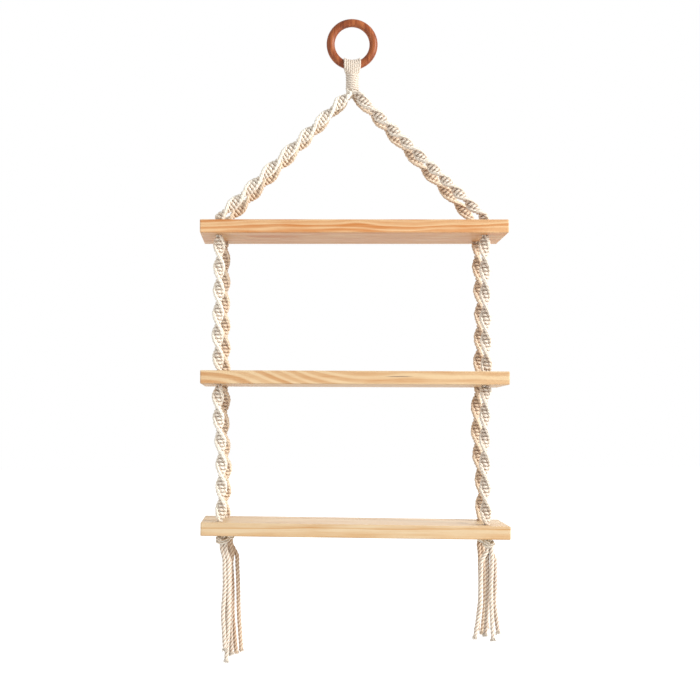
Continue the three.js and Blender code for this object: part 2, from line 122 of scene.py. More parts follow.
def make_piece(name, tubes, material):
    """One mesh object from any number of tubes, each given as points, quads, triangles, their places on
    the flat pattern and a painted shade for each point, which the finish uses to darken what lies deep,
    where shade falls."""
    counts = np.cumsum([0] + [len(tube["points"]) for tube in tubes])

    def joined(key, numbered=0):
        """One array of all tubes; corner numbers move on past the points of the tubes before."""
        return np.concatenate([tube[key] + numbered * start for tube, start in zip(tubes, counts)])

    points, painted_shade = joined("points") * MM, joined("painted_shade")
    quads, triangles = joined("quads", 1), joined("triangles", 1)
    pattern = np.concatenate([joined("quad_uv"), joined("triangle_uv")])
    corners = np.concatenate([quads.ravel(), triangles.ravel()])
    sizes = np.concatenate([np.full(len(quads), 4), np.full(len(triangles), 3)])
    mesh = bpy.data.meshes.new(name)
    mesh.vertices.add(len(points))
    mesh.vertices.foreach_set("co", points.astype(np.float32).ravel())
    mesh.loops.add(len(corners))
    mesh.loops.foreach_set("vertex_index", corners.astype(np.int32))
    mesh.polygons.add(len(sizes))
    mesh.polygons.foreach_set("loop_start", np.concatenate([[0], np.cumsum(sizes)[:-1]]).astype(np.int32))
    mesh.update(calc_edges=True)
    mesh.polygons.foreach_set("use_smooth", np.ones(len(sizes), bool))
    mesh.uv_layers.new(name="flat_pattern").data.foreach_set("uv", pattern.astype(np.float32).ravel())
    mesh.attributes.new("painted_shade", "FLOAT", "POINT").data.foreach_set("value", painted_shade.astype(np.float32))
    mesh.validate()
    mesh.materials.append(material)
    piece = in_scene(name, mesh)
    return piece


# %% [markdown]
# ## Materials from nodes
# A material is a small graph of nodes. Helpers that add a node, fill its inputs and join its links keep
# each recipe below short.

# %% Node helper
def empty_tree(holder):
    """The node tree of a material or a world, with nothing in it."""
    holder.use_nodes = True
    holder.node_tree.nodes.clear()
    return holder.node_tree


def new_material(name):
    """An empty material with its output and a Principled shader joined to it."""
    material = bpy.data.materials.new(name)
    tree = empty_tree(material)
    shader = tree.nodes.new("ShaderNodeBsdfPrincipled")
    output = tree.nodes.new("ShaderNodeOutputMaterial")
    tree.links.new(shader.outputs[0], output.inputs[0])
    return material, tree, shader


def node(tree, kind, values=(), **settings):
    """A node of the tree: settings are its properties, values fill its inputs, each a number, a colour
    or another node's output."""
    made = tree.nodes.new("ShaderNode" + kind)
    for key, setting in settings.items():
        setattr(made, key, setting)
    for place, value in dict(values).items():
        if isinstance(value, bpy.types.NodeSocket):
            tree.links.new(value, made.inputs[place])
        else:
            made.inputs[place].default_value = value
    return made


def ramp(tree, factor, stops):
    """A colour ramp: stops are pairs of a place from 0 to 1 and a colour."""
    made = node(tree, "ValToRGB", {0: factor})
    for _ in stops[2:]:
        made.color_ramp.elements.new(0.5)
    for element, (place, colour) in zip(made.color_ramp.elements, stops):
        element.position = place
        element.color = (*colour, 1)
    return made.outputs[0]


def math_node(tree, operation, first, second=0.0):
    """One sum of two numbers or outputs."""
    return node(tree, "Math", {0: first, 1: second}, operation=operation).outputs[0]


def add_shares(tree, total, *parts):
    """A number or output plus others, each less its middle, if it has one, and times its strength."""
    for output, strength, *middle in parts:
        apart = math_node(tree, "SUBTRACT", output, *middle) if middle else output
        total = math_node(tree, "ADD", total, math_node(tree, "MULTIPLY", apart, strength))
    return total


def noise(tree, place, scale, detail, roughness=0.5, output=0):
    """A noise with about scale spots to the metre and detail finer layers."""
    return node(tree, "TexNoise", {"Vector": place, "Scale": scale, "Detail": detail,
                                   "Roughness": roughness}).outputs[output]


def mapped(tree, place, scale, **settings):
    """A place stretched by a scale and then turned and moved, where that is given by name."""
    return node(tree, "Mapping", {"Vector": place, "Scale": scale, **settings}).outputs[0]


def finish_surface(tree, shader, colour, height, bump, inputs):
    """Join the colour and a bump, given as its strength and its distance, to the shader and set its
    plain inputs."""
    tree.links.new(colour, shader.inputs["Base Color"])
    raised = node(tree, "Bump", {"Height": height, "Strength": bump[0], "Distance": bump[1]})
    tree.links.new(raised.outputs[0], shader.inputs["Normal"])
    for key, value in inputs.items():
        shader.inputs[key].default_value = value


def shade(red, green, blue):
    """A colour as it is read off a screen, turned into the linear light that the shader works in."""
    screen = np.array((red, green, blue)) / 255
    return tuple(np.where(screen <= 0.04045, screen / 12.92, ((screen + 0.055) / 1.055) ** 2.4))


# %% [markdown]
# ## The cotton cord
# The cord is three plies of soft natural cotton, laid to the right, so that its ridges lean like the
# middle of a Z. Each ply holds many fine yarns. The plies are real geometry, because they give the cord
# its outline. The yarns are finer than a mesh should be, so they are stripes of bump and colour that
# follow the cord's own flat pattern: once round is the pattern's width, and the length is its height.

# %% Cotton
YARNS_ROUND, YARN_SLANT = 17, 3.0
WANDER_SCALE, BLOTCH_SCALE, FLECK_SCALE = 900.0, 60.0, 1600.0
YARN_DARKENING, BLOTCH_DARKENING, PALER_BY = 0.08, 0.2, 0.12
YARN_RELIEF, FLECK_RELIEF = 0.6, 0.7
COTTON_BUMP = (0.55, 0.00022)
COTTON_SURFACE = {"Roughness": 0.92, "Specular IOR Level": 0.2, "Sheen Weight": 0.25,
                  "Sheen Roughness": 0.6}


def cotton_material(name, light, deep):
    """Pale cotton: fine yarn stripes on the flat pattern, blotches on the object's place, the mesh's
    painted shade in the grooves and where strands lie covered, blending towards the deep colour, and
    the soft sheen of loose fibres."""
    material, tree, shader = new_material(name)
    place = node(tree, "TexCoord").outputs["Object"]
    flat = node(tree, "UVMap", uv_map="flat_pattern").outputs[0]
    parts = node(tree, "SeparateXYZ", {0: flat}).outputs
    slanted = add_shares(tree, 0.0, (parts[0], YARNS_ROUND), (parts[1], YARN_SLANT))
    shifted = math_node(tree, "ADD", slanted, noise(tree, place, WANDER_SCALE, 3.0))
    wave = math_node(tree, "SINE", math_node(tree, "MULTIPLY", shifted, 2 * np.pi))
    yarn = add_shares(tree, 0.5, (wave, 0.5))
    blotch, fleck = noise(tree, place, BLOTCH_SCALE, 4.0), noise(tree, place, FLECK_SCALE, 2.0)
    # The mesh carries painted shade for the grooves and covered places; the yarn stripes and blotches are
    # added to it.
    painted_shade = node(tree, "Attribute", attribute_name="painted_shade").outputs["Fac"]
    shade_and_pattern = add_shares(tree, painted_shade, (yarn, YARN_DARKENING), (blotch, BLOTCH_DARKENING))
    shade_and_pattern = math_node(tree, "SUBTRACT", shade_and_pattern, PALER_BY)
    height = add_shares(tree, 0.0, (yarn, YARN_RELIEF), (fleck, FLECK_RELIEF))
    colour = ramp(tree, shade_and_pattern, [(0.0, light), (1.0, deep)])
    finish_surface(tree, shader, colour, height, COTTON_BUMP, COTTON_SURFACE)
    return material


# The second colour is the warm brown that the painted shade darkens towards.
cotton = cotton_material("natural_cotton", shade(250, 243, 228), shade(140, 92, 52))
# A darker, warmer copy for the rear ropes: painted shade for the half shade behind the front ropes and
# under the boards.
warm_cotton = cotton_material("warm_cotton", shade(247, 229, 203), shade(140, 88, 50))
print("cotton: yarns round a cord", YARNS_ROUND)


def rope_cotton(hole):
    """The cotton of a rope: the rear ones get the darker, warmer copy, painted shade for the half shade
    they hang in.
    """
    return warm_cotton if hole.startswith("rear") else cotton


# %% [markdown]
# ## A twisted cord along a path
# A cord is a profile carried along a path. The profile has three round lobes, one for each ply, and turns
# once in every lay. The frame that carries it must not twist by itself where the path bends, so the twist
# that the simple frame picks up from point to point is measured, summed and taken off again.

# %% Paths, frames and the three-ply profile
LOOSE_LAY, LOOSE_GROOVE = 18.0, 0.24
TAUT_LAY, TAUT_GROOVE = 19.0, 0.16
DOWNWARD_SIDE = np.array((1.0, 0.0, 0.0))
PLIES = 3
# Painted shade: its strength and power in the grooves, and its fixed amount on the end caps.
GROOVE_SHADE_STRENGTH, GROOVE_POWER = 2.7, 1.5
CAP_BULGE, CAP_SHADE = 0.4, 0.3
SAMPLES_PER_POINT, PATH_STEP = 60, 1.0


def smooth_path(points, step):
    """A Catmull-Rom curve through the points with centripetal spacing, as evenly spaced points: each
    span blends its four nearest points pairwise, by how far along their knots the place is."""
    points = np.asarray(points, float)
    padded = np.vstack([2 * points[0] - points[1], points, 2 * points[-1] - points[-2]])
    knots = np.concatenate([[0], np.cumsum(np.linalg.norm(np.diff(padded, axis=0), axis=1) ** 0.5)])
    place = np.linspace(knots[1], knots[-2], SAMPLES_PER_POINT * len(points))
    span = np.clip(np.searchsorted(knots, place, side="right") - 1, 1, len(points) - 1)
    k = [knots[span + offset][:, None] for offset in (-1, 0, 1, 2)]
    p = [padded[span + offset] for offset in (-1, 0, 1, 2)]
    at = place[:, None]

    def between(a, b, start, end):
        return a * (end - at) / (end - start) + b * (at - start) / (end - start)

    first, second, third = (between(p[i], p[i + 1], k[i], k[i + 1]) for i in range(3))
    left, right = between(first, second, k[0], k[2]), between(second, third, k[1], k[3])
    return even_path(between(left, right, k[1], k[2]), step)


def distances(path):
    """How far along the path each point lies."""
    return np.concatenate([[0], np.cumsum(np.linalg.norm(np.diff(path, axis=0), axis=1))])


def read_at(places, marks, rows):
    """Rows of three numbers, given at the marks, read at other places between them."""
    return np.stack([np.interp(places, marks, column) for column in rows.T], -1)


def at_distance(path, along):
    """Points at given distances along a path."""
    return read_at(along, distances(path), path)


def even_path(path, step):
    """The same path with its points about one step apart."""
    length = distances(path)[-1]
    return at_distance(path, np.linspace(0, length, max(int(round(length / step)), 2) + 1))


def unit(vectors):
    """Vectors cut to length one."""
    return vectors / np.linalg.norm(vectors, axis=-1, keepdims=True)


def carried_frame(path, reference):
    """The way the path runs, two directions square to it, and the twist that these gather: the angle
    from the last side direction, laid square to the new run, to the new one, summed from the start."""
    run = unit(np.gradient(path, axis=0))
    side = unit(reference - (reference * run).sum(-1, keepdims=True) * run)
    other = np.cross(run, side)
    laid = side[:-1] - (side[:-1] * run[1:]).sum(-1, keepdims=True) * run[1:]
    turned = np.arctan2((np.cross(laid, side[1:]) * run[1:]).sum(-1), (laid * side[1:]).sum(-1))
    return run, side, other, np.concatenate([[0], np.cumsum(turned)])


def soften(share):
    """0 to 1 with a gentle start and end."""
    held = np.clip(share, 0, 1)
    return held * held * (3 - 2 * held)


def cord_tube(path, reference, diameter, sides=12, start_turn=0.0, swell=None, lay=TAUT_LAY,
              groove_share=TAUT_GROOVE, shadow=0.0):
    """A three-ply cord. Round each point of the path, a point stands in each of the given number of
    directions; its distance is the radius less a share that grows towards the three grooves as one
    minus the size of the cosine of one and a half times the angle. The directions turn once per lay.
    The painted shade of a point is the shadow given for its place plus painted shade in the grooves, which
    grows with the groove's share to the power one and a half."""
    path = np.asarray(path, float)
    run, side, other, twist = carried_frame(path, reference)
    along = distances(path)
    around = 2 * np.pi * np.arange(sides) / sides
    groove = 1 - np.abs(np.cos(PLIES / 2 * around))
    radius = diameter / 2 * (np.ones(len(path)) if swell is None else swell)
    angle = (start_turn + 2 * np.pi * along / lay - twist)[:, None] + around
    reach = radius[:, None] * (1 - groove_share * groove)
    ring = (path[:, None] + (reach * np.cos(angle))[..., None] * side[:, None]
            + (reach * np.sin(angle))[..., None] * other[:, None])
    caps = np.stack([path[0] - run[0] * radius[0] * CAP_BULGE, path[-1] + run[-1] * radius[-1] * CAP_BULGE])
    # Painted shade in the three grooves between the plies, added to the shadow given for the place; the end
    # caps get a fixed painted shade.
    groove_shade = GROOVE_SHADE_STRENGTH * groove_share * groove ** GROOVE_POWER
    painted_shade = (np.zeros(len(path)) + shadow)[:, None] + groove_shade
    return {**tube_faces(len(path), sides, along / (np.pi * diameter)),
            "points": np.concatenate([ring.reshape(-1, 3), caps]),
            "painted_shade": np.concatenate([painted_shade.ravel(), [CAP_SHADE, CAP_SHADE]])}


# %% [markdown]
# ## Where the boards hang
# The boards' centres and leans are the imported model's. The right-hand cords are knotted a little longer,
# so the middle board tips slightly to the right and the bottom board more, and it also nods forward. A
# point given on a board, such as a hole's mouth, is turned by that lean and moved to the board's centre.

# %% Boards' places and holes
BOARD_HALF = 9.5
BOARDS = {"top_board": (-301.6, 0.0, 0.0), "middle_board": (-517.2, 0.37, 0.0),
          "bottom_board": (-733.5, 1.09, 1.35)}
HOLES = {"front_left": (-194.0, -40.0), "front_right": (189.0, -40.0),
         "rear_left": (-189.0, 40.0), "rear_right": (187.5, 40.0)}


def on_board(board, point):
    """A point of a board, in its own frame, as a point of the object: rolled, pitched, then lowered."""
    height, roll, pitch = BOARDS[board]
    r, p = np.radians((roll, pitch))
    rolled = np.array([[np.cos(r), 0, np.sin(r)], [0, 1, 0], [-np.sin(r), 0, np.cos(r)]])
    pitched = np.array([[1, 0, 0], [0, np.cos(p), -np.sin(p)], [0, np.sin(p), np.cos(p)]])
    return pitched @ rolled @ np.array(point, float) + np.array((0, 0, height))


def mouth(board, hole, end):
    """The middle of a hole's mouth: end is 1 above the board and -1 under it."""
    return on_board(board, (*HOLES[hole], end * BOARD_HALF))


print("holes:", {hole: np.round(mouth("bottom_board", hole, -1), 1).tolist() for hole in HOLES})

# %% [markdown]
# ## Tassels: free cords
# Under the stopper knots the four strands of each leg hang free, 124 to 168 mm long, relaxed and thicker
# than where they are pulled tight. The photograph shows each one's way: out of the knot, soon a little to
# the side, then down, some with a lazy bow or a flare. At the cut ends the plies open and the yarns stand
# out like a brush.

# %% Tassel strands
FLUFFED_CORD = 6.6
STRAND_SPACING = 5.3
KNOT_HEIGHT = 13.6
KNOT_BESIDE_HOLE = {"left": 4.6, "right": 3.0}
TOUCH_GAP, STRAND_GAP = 0.3, 0.5
DROP_SHARES = np.array([0, .03, .08, .14, .21, .29, .37, .45, .53, .61, .69, .77, .85, .93, 1])
DRIFT_SHARES = np.array([0, 0, .01, .04, .08, .13, .19, .26, .34, .43, .53, .64, .76, .88, 1])
MARK_SHARES = (0.03, 0.14, 0.4, 0.65, 1)
TASSELS = {
    "front_left": [(150, (-1.1, 2.6, 3.1, 0.2, 3.4), -8), (167, (4.2, 8.4, 8.5, 8.3, 4.8), 0),
                   (160, (-1.1, 3.5, 4.5, 5, 6), 5), (158, (4.2, 9.5, 10.5, 10.5, 12), 7)],
    "front_right": [(129, (-2.65, -10.5, -12.2, -13, -21.4), -5), (132, (4.2, 4.8, 3, 3.2, 5.2), -3),
                    (127, (-1.3, -1.3, -1, -1.6, -4.8), 4), (124, (4.2, 9.4, 9.8, 8.6, 14.6), 6)],
    "rear_left": [(156, (-1.1, -2.5, -3.8, -3.8, -2.5), -3), (160, (4.2, 6.2, 1.8, 2.4, 4.6), -5),
                  (168, (-1.1, 4, 6.5, 6.4, 11.5), 3), (165, (4.2, 13, 14.7, 15.3, 19), 5)],
    "rear_right": [(128, (-2.65, -1.8, -1.5, -2, -8), -4), (134, (2.65, 3.6, 5.6, 5.4, 0), -5),
                   (130, (-2.65, -1, -0.5, -1, -5), 3), (127, (4.2, 6.5, 7.3, 8, 9.5), 5)]}
INTO_KNOT, INSIDE_KNOT_SHARE = 5.0, 0.55
FRAY_YARNS, FRAY_LENGTH, FRAY_SPREAD = 80, 10.0, 3.6
FRAY_SHORTEST_SHARE, FRAY_ROOT_SHARE, FRAY_CURL = 0.6, 0.85, 1.5
FRAY_SIDE_TURN, FRAY_SIDEWAYS = 1.6, 0.9
YARN_DIAMETERS, YARN_TAPER, YARN_SHADOW = (0.7, 1.2), 0.5, 0.3
OPENING_END, CUT_END_SHARE = 6.0, 0.4
TASSEL_SEED, YARN_POINTS = 7, 6
STRAND_SHADOWS = {"front": (0.18, 0.16, 0.28, 0.32), "rear": (0.26, 0.2, 0.35, 0.22)}


def knot_point(hole, height):
    """A point on a stopper knot's upright middle line, given as a height in the bottom board's frame."""
    x, y = HOLES[hole]
    return on_board("bottom_board", (x + KNOT_BESIDE_HOLE[hole.split("_")[1]], y, height))


def strand_path(hole, index):
    """A strand's line: it falls by its length, stands to the side as its marks say, with straight lines
    between them, and drifts to the front or back. It starts a little inside the knot, nearer to its
    middle. Two strands stand before the knot's middle and two behind it."""
    length, sideways, drift = TASSELS[hole][index]
    foot = knot_point(hole, -BOARD_HALF - TOUCH_GAP - KNOT_HEIGHT)
    row = -STRAND_SPACING / 2 if index < 2 else STRAND_SPACING / 2
    points = foot + np.stack([np.interp(DROP_SHARES, MARK_SHARES, sideways), row + drift * DRIFT_SHARES,
                              -STRAND_GAP - length * DROP_SHARES], -1)
    inside = foot + (points[0] - foot) * (INSIDE_KNOT_SHARE, INSIDE_KNOT_SHARE, 1) + (0, 0, INTO_KNOT)
    return smooth_path(np.vstack([inside, points]), PATH_STEP)


def fray_tubes(path, random):
    """The yarns that stand out of a cut end: each leaves the last stretch of the cord at its own angle,
    and its distance from the line grows with how far along it is, to the power one and a half, so that
    it curls out. The reach is the square root of a random share, which fills the brush evenly."""
    run, side, other, _ = carried_frame(path, DOWNWARD_SIDE)
    share = np.linspace(0, 1, YARN_POINTS)[:, None]
    tubes = []
    for _ in range(FRAY_YARNS):
        angle, filled = random.uniform(0, 2 * np.pi), np.sqrt(random.uniform(0, 1))
        length = FRAY_LENGTH * random.uniform(FRAY_SHORTEST_SHARE, 1)
        outward, across = (np.cos(turn) * side[-1] + np.sin(turn) * other[-1]
                           for turn in (angle, angle + FRAY_SIDE_TURN))
        base = path[-1] - run[-1] * FRAY_LENGTH * FRAY_ROOT_SHARE + outward * filled
        line = (base + run[-1] * length * share + outward * FRAY_SPREAD * filled * share ** FRAY_CURL
                + across * random.uniform(-FRAY_SIDEWAYS, FRAY_SIDEWAYS) * share ** 2)
        tubes.append(cord_tube(line, outward + 0.3 * across, random.uniform(*YARN_DIAMETERS), sides=5,
                               swell=1 - YARN_TAPER * share[:, 0], shadow=random.uniform(0, YARN_SHADOW)))
    return tubes


random = np.random.default_rng(TASSEL_SEED)
for hole in HOLES:
    row = hole.split("_")[0]
    for index in range(4):
        path = strand_path(hole, index)
        left_over = distances(path)[-1] - distances(path)
        swell = CUT_END_SHARE + (1 - CUT_END_SHARE) * soften(left_over / OPENING_END)
        tube = cord_tube(path, DOWNWARD_SIDE, FLUFFED_CORD, sides=18, lay=LOOSE_LAY,
                         groove_share=LOOSE_GROOVE, start_turn=random.uniform(0, 6), swell=swell,
                         shadow=STRAND_SHADOWS[row][index])
        name = f"tassel_{hole}_{index + 1}"
        strand = make_piece(f"{name}_cord", [tube, *fray_tubes(path, random)], rope_cotton(hole))
        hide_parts(name)
        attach(strand, f"tassel_{hole}")

# %% [markdown]
# ## The knotted cords
# Between the boards each leg is a half-knot sennit: two straight filler strands, and two working strands
# that are tied round them again and again, always starting from the same side. Each working strand passes
# in front of the fillers to the far side, hooks under the other and returns behind them. Because every
# knot pulls the same way, the column winds into a spiral to the left, a half turn about every 33 mm, a
# little different in each stretch. One formula with its first few harmonics gives the strand's whole
# path, so no knot is placed by hand: across the column it swings as a cosine, through the column as a
# first and a third sine that hook it round its partner at the edge, and it drops fast along the edges
# and hardly at all across the face.

# %% One knotted column
HALF_KNOT = 5.42
WORKING_CORD, FILLING_CORD = 4.1, 3.4
SWING, SWING_THIRD = 6.6, 0.18
THROUGH, THROUGH_THIRD = 0.93, 1.9
DROP_SECOND, DROP_FOURTH = 0.45, 0.106
STEPS_PER_KNOT = 18
UNEVEN = (-0.09, 0.06)
NECK_REACH, RAMP_LEAD = 2.45, 1.5
FILLER_OFFSET, FILLER_STEP = 1.5, 1.6
COVERED_SHADOW, COVERED_FULLY = 0.35, 0.35


def half_knot_strands(path, reference, neck, ramp, bulges, seed=0):
    """The four strands of a sennit along a path. t counts half knots. In the frame that turns with the
    column a working strand is at across = 6.6 cos(pi t) + 0.18 cos(3 pi t), through = -(0.93 sin(pi t)
    - 1.9 sin(3 pi t)), and its distance along is one knot per t plus 0.45 sin(2 pi t) and 0.106
    sin(4 pi t) of a knot. Its partner is turned half round. Near the necks all of it fades to four
    straight strands, by the weight. The frame turns half round from one bulge to the next."""
    marks = distances(path)
    length = marks[-1]
    knotted = length - neck[0] - neck[1]
    knots = max(int(round(knotted / HALF_KNOT)), 1)
    pitch = knotted / knots
    t = np.arange(0.5 * STEPS_PER_KNOT, (knots + 0.5) * STEPS_PER_KNOT + 1) / STEPS_PER_KNOT
    straight = neck[0] + (t - 0.5) * pitch
    weight = (soften((straight - neck[0] + RAMP_LEAD) / ramp[0])
              * soften((length - neck[1] - straight + RAMP_LEAD) / ramp[1]))
    random = np.random.default_rng(seed)
    coarse = np.arange(-1, knots + 3)
    uneven = 1 + np.interp(t, coarse, random.uniform(*UNEVEN, len(coarse)))
    wave = np.pi * t
    across = weight * uneven * (SWING * np.cos(wave) + SWING_THIRD * np.cos(3 * wave))
    through = -(THROUGH * np.sin(wave) - THROUGH_THIRD * np.sin(3 * wave))
    resting = np.where(straight < length / 2, np.sign(through[0]), np.sign(through[-1])) * NECK_REACH
    through = weight * through + (1 - weight) * resting
    along = straight + weight * pitch * (DROP_SECOND * np.sin(2 * wave) + DROP_FOURTH * np.sin(4 * wave))
    top = np.linspace(0, neck[0], max(int(neck[0]), 1) + 1)[:-1]
    bottom = np.linspace(length - neck[1], length, max(int(neck[1]), 1) + 1)[1:]
    along = np.concatenate([top, along, bottom])
    across = np.pad(across, (len(top), len(bottom)))
    through = np.concatenate([0 * top + resting[0], through, 0 * bottom + resting[-1]])
    _, side, other, _ = carried_frame(path, reference)

    def placed(along, across, through):
        """From the turning frame to the object: turn by the column's spiral, then lay on the path."""
        turn = np.pi * np.interp(along, bulges, np.arange(len(bulges)))
        flat = np.cos(turn) * across - np.sin(turn) * through
        deep = np.sin(turn) * across + np.cos(turn) * through
        held = np.clip(along, 0, length)
        sideways, depthways = (unit(read_at(held, marks, axis)) for axis in (side, other))
        return at_distance(path, held) + flat[:, None] * sideways - deep[:, None] * depthways

    filler = np.linspace(0, length, int(length / FILLER_STEP) + 2)
    offset, level = np.full(len(filler), FILLER_OFFSET), np.zeros(len(filler))
    inwards = 1 - np.hypot(across / SWING, through / (THROUGH + THROUGH_THIRD))
    covered = COVERED_SHADOW * np.clip(inwards / COVERED_FULLY, 0, 1)
    strands = [(placed(along, across, through), WORKING_CORD, covered),
               (placed(along, -across, -through), WORKING_CORD, covered),
               (placed(filler, offset, level), FILLING_CORD, COVERED_SHADOW),
               (placed(filler, -offset, level), FILLING_CORD, COVERED_SHADOW)]
    return strands, at_distance(path, along), knots


def column_tubes(path, reference, tone=0.0, **shape):
    """Cord tubes for the four strands. A working strand's side direction points away from the column's
    line, which is never the way it runs. The tone is painted shade added to every strand's shadow."""
    strands, axis_points, knots = half_knot_strands(path, reference, **shape)
    tubes = []
    for number, (line, diameter, shadow) in enumerate(strands):
        outward = line - axis_points if number < 2 else np.array(reference, float)
        tubes.append(cord_tube(line, outward, diameter, start_turn=number, shadow=shadow + tone))
    return tubes, knots


# %% Stretches between the boards
INTO_HOLE, NECK = 4.0, 0.6
SPAN_RAMP = 5.0
HALF_TURNS = np.arange(-2, 9)
SWAY_SHARES = np.array((0, 0.02, 0.1, 0.3, 0.5, 0.7, 0.9, 0.98, 1))
STRETCHES = {
    ("upper", "front_left"): (14, 65, (0.2, -0.2, -1.0, -2.4, -1.6)),
    ("upper", "front_right"): (17, 69, (-0.6, 0.2, 0.2, 0.2, 1.4)),
    ("upper", "rear_left"): (27, 65, (0.3, 0.2, -0.4, 0.0, 0.0)),
    ("upper", "rear_right"): (5, 70, (-0.5, 1.2, 3.0, 2.2, 1.0)),
    ("lower", "front_left"): (17, 65, (-2.0, -0.8, 2.4, 2.4, 2.0)),
    ("lower", "front_right"): (8, 70, (-0.5, -1.6, -2.0, -1.9, -1.0)),
    ("lower", "rear_left"): (22, 66, (0.0, -1.6, 0.2, 1.6, -0.8)),
    ("lower", "rear_right"): (30, 74, (-2.0, -3.0, -1.2, 2.4, 2.4))}
# Painted shade added to each rope's strands: more on the right and rear ones, a little less on the front
# left.
ROPE_PAINTED_SHADE = {"front_left": -0.02, "front_right": 0.08, "rear_left": 0.04, "rear_right": 0.12}


def stretch_path(upper, lower, hole, sways):
    """A line from inside the upper board's hole to inside the lower board's, which sways sideways by
    the given amounts at a tenth, three tenths and so on of the way, and by nothing at its ends."""
    start, end = mouth(upper, hole, -1), mouth(lower, hole, 1)
    way = unit(end - start)
    start, end = start - way * INTO_HOLE, end + way * INTO_HOLE
    points = start + SWAY_SHARES[:, None] * (end - start)
    points[:, 0] += np.concatenate([[0, 0], sways, [0, 0]])
    return smooth_path(points, PATH_STEP)


knot_total = 0
for tier, (upper, lower) in {"upper": ("top_board", "middle_board"),
                             "lower": ("middle_board", "bottom_board")}.items():
    for number, hole in enumerate(HOLES):
        first_bulge, turn_length, sways = STRETCHES[tier, hole]
        path = stretch_path(upper, lower, hole, sways)
        bulges = INTO_HOLE + first_bulge + turn_length / 2 * HALF_TURNS
        tubes, knots = column_tubes(path, -DOWNWARD_SIDE, tone=ROPE_PAINTED_SHADE[hole], bulges=bulges,
                                    neck=(INTO_HOLE + NECK, INTO_HOLE + NECK), ramp=(SPAN_RAMP, SPAN_RAMP),
                                    seed=number)
        name = f"{tier}_cord_{hole}"
        stretch = make_piece(f"{name}_sennit", tubes, rope_cotton(hole))
        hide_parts(name)
        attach(stretch, f"{tier}_{hole}")
        knot_total += knots
print("stretches: 8, half knots", knot_total, "faces in the last", len(stretch.data.polygons))

# %% [markdown]
# ## The legs
# From the wrap the four legs spread to the top board's corners. Each is the same knotted column on a
# bent line: a short fan out of the bundle, a straight run down, and a bend into its hole. The bend is a
# circle that touches the run and the hole's line; where it starts depends on the run's slope, and the
# slope on where it starts, so the two are settled by a few rounds of putting one into the other. The
# legs wind less evenly than the stretches: where each bulge lies is read off the photograph.

# %% Legs
WRAP_TOP, WRAP_BOTTOM = -68.6, -94.6
SPLIT = np.array((0.0, 0.0, -95.6))
LEAVE = np.array((0.6, 0.59, -0.54))
LEG_NECK_FROM, LEG_SPREAD = 7.0, 16.0
BEND_RADIUS = 15.0
LEG_END_ABOVE_UNDERSIDE = 5.3
SETTLING_ROUNDS = 8
BUNDLE_SPOT = np.array((3.0, 2.7, 0.0))
FAN_HEIGHTS, FAN_WIDENING, FAN_DROP = (10.5, 4.5), 1.1, 1.0
RUN_SHARES = np.array((0.06, 0.3, 0.6, 0.94))[:, None]
BEND_SHARES = np.array((0, 0.33, 0.67, 1))[:, None]
LEG_NECKS, LEG_RAMPS, LEG_SEED = (9.5, 15.0), (5.0, 6.0), 20
LEG_BULGES = {"front_left": (-16, 21, 51, 90, 123, 163, 200, 236, 272, 308),
              "front_right": (-16, 17, 55, 85, 112, 138, 167, 193, 217, 245, 273, 301),
              "rear_left": (-16, 19, 59, 96, 127, 163, 199, 232, 266, 300),
              "rear_right": (-16, 18, 56, 86, 126, 164, 199, 236, 273, 310)}
# Painted shade added to each leg's strands: more on the right ones, less on the left ones.
LEG_PAINTED_SHADE = {"front_left": -0.05, "front_right": 0.06, "rear_left": -0.05, "rear_right": 0.08}


def leg_path(hole):
    """A leg's line from inside the bundle into the top board's hole."""
    outward = (*np.sign(HOLES[hole]), 1)
    leave = unit(LEAVE * outward)
    spread = SPLIT + LEG_SPREAD * leave
    end = mouth("top_board", hole, 1)

    def on_bend(turn, inward):
        """A point of the circle that meets the hole's line at its mouth, by the turn still to go."""
        return end + BEND_RADIUS * ((1 - np.cos(turn)) * inward + np.sin(turn) * np.array((0, 0, 1)))

    bend_start = end
    for _ in range(SETTLING_ROUNDS):
        run = unit(bend_start - spread)
        slope = np.arccos(-run[2])
        inward = -unit(run * (1, 1, 0))
        bend_start = on_bend(slope, inward)
    straight = spread + RUN_SHARES * (bend_start - spread)
    bend = on_bend(slope * (1 - BEND_SHARES), inward)
    bottom = end - np.array((0, 0, 2 * BOARD_HALF - LEG_END_ABOVE_UNDERSIDE))
    inside = BUNDLE_SPOT * outward
    fan = np.stack([*(inside + (0, 0, WRAP_BOTTOM + height) for height in FAN_HEIGHTS),
                    inside * FAN_WIDENING + (0, 0, WRAP_BOTTOM),
                    SPLIT + LEG_NECK_FROM * leave - (0, 0, FAN_DROP)])
    return smooth_path(np.vstack([fan, spread, straight, bend, bottom]), PATH_STEP)


for number, hole in enumerate(HOLES):
    path = leg_path(hole)
    tubes, knots = column_tubes(path, np.array((0.0, 1.0, 0.0)), tone=LEG_PAINTED_SHADE[hole],
                                bulges=np.array(LEG_BULGES[hole]), neck=LEG_NECKS, ramp=LEG_RAMPS,
                                seed=LEG_SEED + number)
    leg = make_piece(f"leg_{hole}_sennit", tubes, rope_cotton(hole))
    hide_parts(f"leg_{hole}")
    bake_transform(leg)
    knot_total += knots
print("legs: length", round(float(distances(path)[-1]), 1), "mm, half knots in all", knot_total)

# %% [markdown]
# ## Strands inside the holes
# A leg runs on through every board. Inside a hole it is four straight strands side by side, which the
# camera hardly sees, but a hole must not look empty from an angle.

# %% Strands in the middle and bottom boards
INSIDE_MOUTH, TOWARDS_KNOT = np.array((0, 0, 2.0)), np.array((0, 0, 4.0))
HOLE_STEP = 1.5
STRAIGHT_SPOTS = ((NECK_REACH, 0.0), (-NECK_REACH, 0.0), (0.0, FILLER_OFFSET), (0.0, -FILLER_OFFSET))


